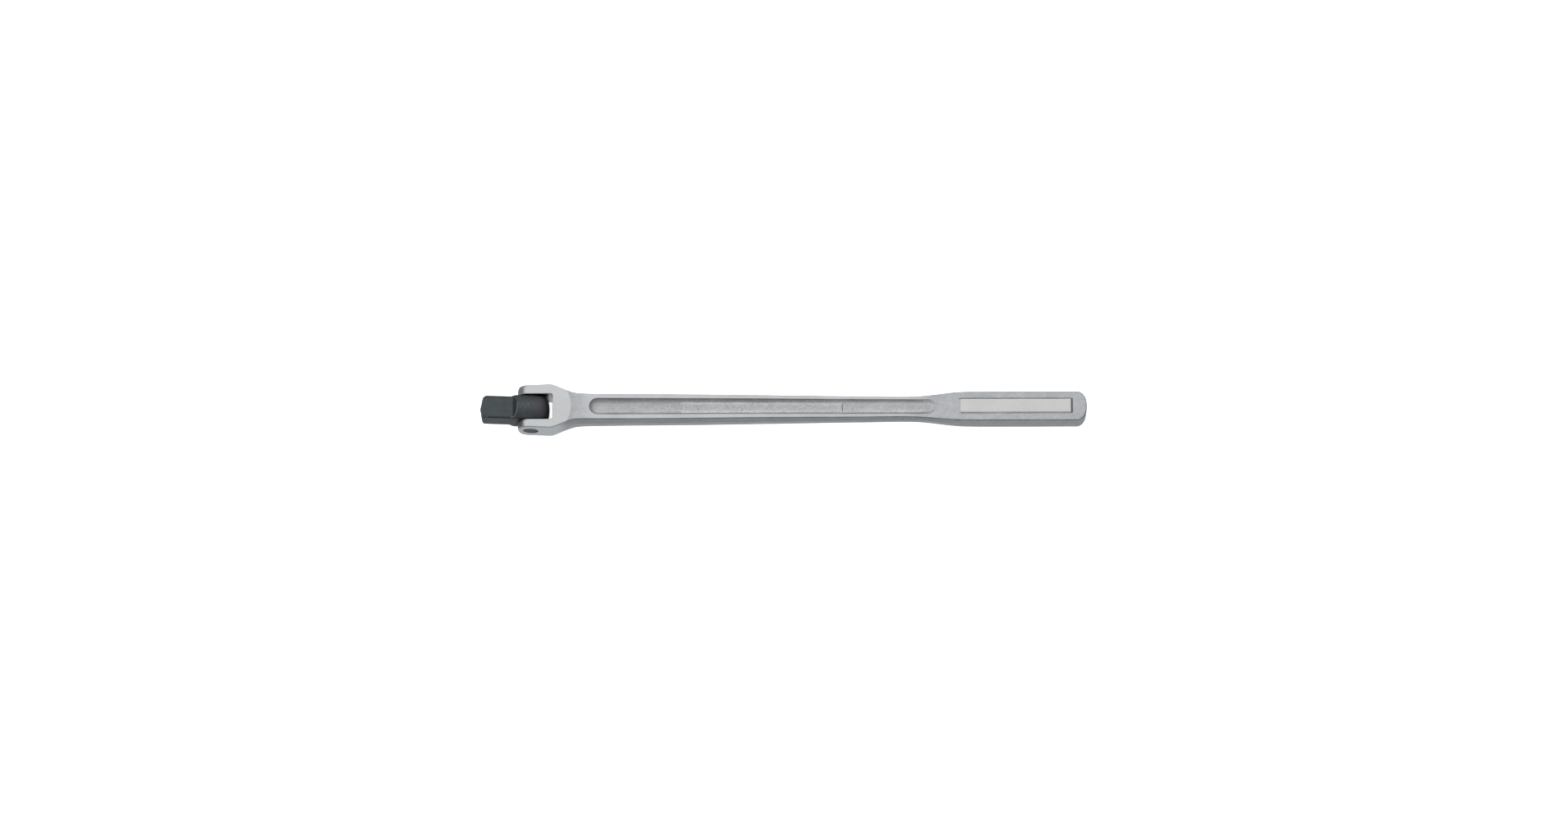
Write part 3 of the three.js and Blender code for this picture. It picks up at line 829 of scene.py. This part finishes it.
def head_piece():
    profile = head_profile()
    segments = 288
    angles = np.linspace(0, 2 * math.pi, segments, endpoint=False)
    x = profile[:, 0][:, None]
    radius = np.maximum(profile[:, 1][:, None], 1e-5)
    flat = flat_height(x)
    cos, sin = np.abs(np.cos(angles))[None, :] + 1e-9, np.abs(np.sin(angles))[None, :] + 1e-9
    side_flat = np.minimum(flat, HEAD["tongue"]) / cos
    face_flat = flat / sin
    flats = smooth_min(side_flat, face_flat, 0.12)
    r = smooth_min(np.broadcast_to(radius, flats.shape), flats, 0.15)
    near = np.abs(radius - np.minimum(side_flat, face_flat))
    across = np.broadcast_to(x, r.shape)
    y = r * np.cos(angles)
    # Painted highlight: a light streak on the tip's -Y side. Along the relief's edge the metal is worn
    # through, painted as a highlight that mostly fades out above y = 1.
    tip_highlight = 0.3 * (across < -18.2) * (1 - smooth_step(y, -3.5, 1))
    relief_edge = (across > -8.6) * (across < -5.6) * (np.abs(y) < 4.4) * (1 - 0.8 * smooth_step(y, 0.6, 1.2))
    wear_and_highlight = np.clip(1.3 - near / 0.15, 0, 1) * (tip_highlight + relief_edge)
    co = np.stack([across, y, r * np.sin(angles)], axis=2).reshape(-1, 3)
    crown = np.abs(co[:, 2]) > 6
    rubbed = 0.16 + 0.84 * np.exp(-((co[:, 1] - 0.8) / 0.5) ** 2)
    # Painted shade along the edges where the flats meet the blank, and along the tongue's sides.
    arris_shade = (np.minimum(side_flat, face_flat) > radius - 0.3) & (across < -8.9) & (across > -19.2)
    arris_shade |= (across > -6.4) & (np.abs(y) > HEAD["tongue"] - 0.42)
    marks = {
        "wear_and_highlight": wear_and_highlight.ravel(),
        "scuffed": smooth_step(co[:, 0], -6.6, -5.8) * (1 - smooth_step(co[:, 0], 0, 2.5)) * crown * rubbed,
        # rear: where the painted lighter tone goes.
        "rear": smooth_step(co[:, 0], -2, 2.5),
        # Painted shade at the very end of the tongue.
        "heel_shade": smooth_step(co[:, 0], 6.7, 7.6),
        "arris_shade": arris_shade.ravel().astype(float),
    }
    faces = grid_faces(len(profile), segments, wrap=True)
    head = make_object("drive_head_body", co, faces, BLACK_OXIDE, "head", "drive_head",
                       marks, sharp_angle=50, head=True)
    cut(head, *turned(PIN_BORE, 96), head=True)
    face = HEAD["square"]
    well = [(BALL["seat"], 0), (BALL["seat"], BALL["bore"]), (face - 0.25, BALL["bore"]),
            (face - 0.16, BALL["lip"]), (face - 0.06, BALL["lip"]), (face + 0.12, BALL["lip"] + 0.16),
            (face + 1, BALL["lip"] + 0.16), (face + 1, 0)]
    co, faces = turned(well, 64)
    cut(head, co + (BALL["x"], 0, 0), faces, head=True)


# ---- Pin, washer, ball and spring -----------------------------------------------------------

def pin_piece():
    """A plain pin whose ends are flush with the ears, with a small lapped edge."""
    half = float(np.interp(0, *np.array(EAR_SIDE).T))
    end = [(half - 0.06, 0), (half - 0.04, 1.0), (half, 2.0), (half, 2.7), (half - 0.03, 2.86),
           (half - 0.12, 2.96), (half - 0.25, PIN_RADIUS)]
    co, faces = turned([(-y, r) for y, r in end] + end[::-1], 96)
    ends = np.abs(co[:, 1]) > half - 0.2
    radial = np.hypot(co[:, 0], co[:, 2])
    co[:, 1] -= np.sign(co[:, 1]) * ends * 0.03 * (1 + value_noise(co, 0.7, 11))
    # Painted shade: a dark ring round the pin's end.
    marks = {"arris_shade": smooth_step(radial, 2.4, 2.85)}
    make_object("hinge_pin_body", co, faces, BLACK_OXIDE, "handle", "hinge_pin", marks)


def washer_piece():
    low, high = (np.array(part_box("friction_washer")) - PIN_AXIS) / MM
    outer, inner, wave, waves = high[0], 3.3, 0.07, 3
    half = (high[1] - low[1]) / 2 - wave
    corner = 0.05
    ring = [(-half, inner + corner), (-half, outer - corner), (-half + corner, outer), (half - corner, outer),
            (half, outer - corner), (half, inner + corner), (half - corner, inner), (-half + corner, inner)]
    co, faces = turned(ring + [ring[0]], 144)
    co[:, 1] += (low[1] + high[1]) / 2 + wave * np.cos(waves * np.arctan2(co[:, 2], co[:, 0]))
    # The washer gets the dark black-oxide material so that it reads as the shade between the ears: painted
    # shade.
    make_object("spring_washer", co, faces, BLACK_OXIDE, "handle", "friction_washer")


def ball_piece():
    profile = [(-BALL["radius"] * math.cos(a), BALL["radius"] * math.sin(a))
               for a in np.linspace(0, math.pi, 33)]
    co, faces = turned(profile, 64)
    co += (BALL["x"], BALL_CENTRE_Y, 0)
    make_object("detent_ball_body", co, faces, BALL_STEEL, "ball", "detent_ball", head=True)


def spring_piece():
    """The coil spring under the ball, between the head and the ball."""
    coil, wire, gap = SPRING["coil"], SPRING["wire"], SPRING["clearance"]
    low = BALL["seat"] + wire + gap
    high = BALL_CENTRE_Y - math.sqrt(BALL["radius"] ** 2 - coil ** 2) - wire - gap
    turn = np.linspace(0, 2 * math.pi * SPRING["turns"], 28 * SPRING["turns"] + 1)[:, None]
    ring = np.linspace(0, 2 * math.pi, 14, endpoint=False)[None, :]
    out = coil + wire * np.cos(ring)
    rise = low + (high - low) * turn / turn[-1] + wire * np.sin(ring)
    co = np.stack([BALL["x"] + out * np.cos(turn), rise, out * np.sin(turn)], axis=2).reshape(-1, 3)
    rows, sides = turn.size, ring.size
    faces = [face[::-1] for face in grid_faces(rows, sides, wrap=True)]
    faces += [list(range(sides))[::-1], list(range((rows - 1) * sides, rows * sides))]
    obj = make_object("detent_spring_coil", co, faces, SPRING_STEEL, None, "detent_spring",
                      head=True)
    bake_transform(obj)


for make_piece in (handle_piece, head_piece, pin_piece, washer_piece, ball_piece, spring_piece):
    make_piece()


# ---- Floor, light and camera ------------------------------------------------------------------

def floor_material():
    n = Nodes("pale_floor")
    cloud = n.noise(3, 2, 0.5)
    pale = n.mix(n.band(cloud, 0.3, 0.7), (0.93, 0.93, 0.93), (0.95, 0.95, 0.95))
    n.link(pale, n.shader.inputs["Base Color"])
    n.shader.inputs["Roughness"].default_value = 0.9
    n.shader.inputs["Emission Color"].default_value = (1, 1, 1, 1)
    n.shader.inputs["Emission Strength"].default_value = 0.85
    return n.material


low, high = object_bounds()
FLOOR_REACH = 6.0
floor_corners = [(FLOOR_REACH * a, FLOOR_REACH * b, low.z) for a, b in ((-1, -1), (1, -1), (1, 1), (-1, 1))]
floor_mesh = bpy.data.meshes.new("floor")
floor_mesh.from_pydata(floor_corners, [], [(0, 1, 2, 3)])
floor_mesh.materials.append(floor_material())
floor = bpy.data.objects.new("floor", floor_mesh)
bpy.context.scene.collection.objects.link(floor)
# Gloss on the steel mirrors the studio around it, not the bright floor.
floor.visible_glossy = False

centre = Vector(((low.x + high.x) / 2, 0, PIN_AXIS[2]))


def softbox(name, place, width, depth, radiance):
    """An area light at place, in metres from the object's centre, turned towards the object."""
    data = bpy.data.lights.new(name, "AREA")
    data.shape = "RECTANGLE"
    data.size, data.size_y = width, depth
    data.energy = radiance * math.pi * width * depth
    lamp = bpy.data.objects.new(name, data)
    bpy.context.scene.collection.objects.link(lamp)
    lamp.location = centre + Vector(place)
    lamp.rotation_euler = (-Vector(place)).to_track_quat("-Z", "Y").to_euler()


softbox("overhead", (-0.1, 0.5, 1.5), 1.8, 1.55, 1.25)
softbox("left", (-1.3, 0.35, 1.15), 0.5, 1.0, 2.4)
softbox("back", (0.1, 1.35, 0.95), 2.0, 0.45, 1.1)

# Strength by direction, from 0 straight below to 1 straight above. It is high overhead and straight
# below, and lower all round the horizon.
STUDIO_LEVELS = [(0.004, 0.9), (0.045, 0.52), (0.3, 0.5), (0.55, 0.55), (0.8, 0.7), (0.95, 0.84)]


def studio_world():
    world = bpy.data.worlds.new("studio")
    world.use_nodes = True
    nodes, links = world.node_tree.nodes, world.node_tree.links
    backdrop = nodes["Background"]
    backdrop.inputs["Color"].default_value = (0.96, 0.98, 1.0, 1)
    direction = nodes.new("ShaderNodeTexCoord")
    upward = nodes.new("ShaderNodeSeparateXYZ")
    ramp = nodes.new("ShaderNodeValToRGB")
    height = nodes.new("ShaderNodeMapRange")
    height.inputs["From Min"].default_value = -1
    links.new(direction.outputs["Generated"], upward.inputs["Vector"])
    links.new(upward.outputs["Z"], height.inputs["Value"])
    links.new(height.outputs["Result"], ramp.inputs["Fac"])
    links.new(ramp.outputs["Color"], backdrop.inputs["Strength"])
    steps = ramp.color_ramp.elements
    while len(steps) < len(STUDIO_LEVELS):
        steps.new(0.5)
    for step, (position, level) in zip(steps, STUDIO_LEVELS):
        step.position = position
        step.color = (level, level, level, 1)
    return world


bpy.context.scene.world = studio_world()
bpy.context.scene.view_settings.view_transform = "Standard"

VIEW_ELEVATION = math.radians(73.3)
VIEW_ROLL = math.radians(-0.12)
VIEW_WIDTH = 2.586 * (high.x - low.x)
camera_data = bpy.data.cameras.new("camera")
camera_data.lens = 200
camera = bpy.data.objects.new("camera", camera_data)
bpy.context.scene.collection.objects.link(camera)
back = Vector((0, -math.cos(VIEW_ELEVATION), math.sin(VIEW_ELEVATION)))
up = Vector((0, math.sin(VIEW_ELEVATION), math.cos(VIEW_ELEVATION)))
distance = VIEW_WIDTH * camera_data.lens / camera_data.sensor_width
aim = centre + Vector((0.19 * MM, 0, 0)) - up * (0.4 * MM)
camera.matrix_world = (
    Matrix.Translation(aim + back * distance)
    @ back.to_track_quat("Z", "Y").to_matrix().to_4x4()
    @ Matrix.Rotation(VIEW_ROLL, 4, "Z")
)
bpy.context.scene.camera = camera
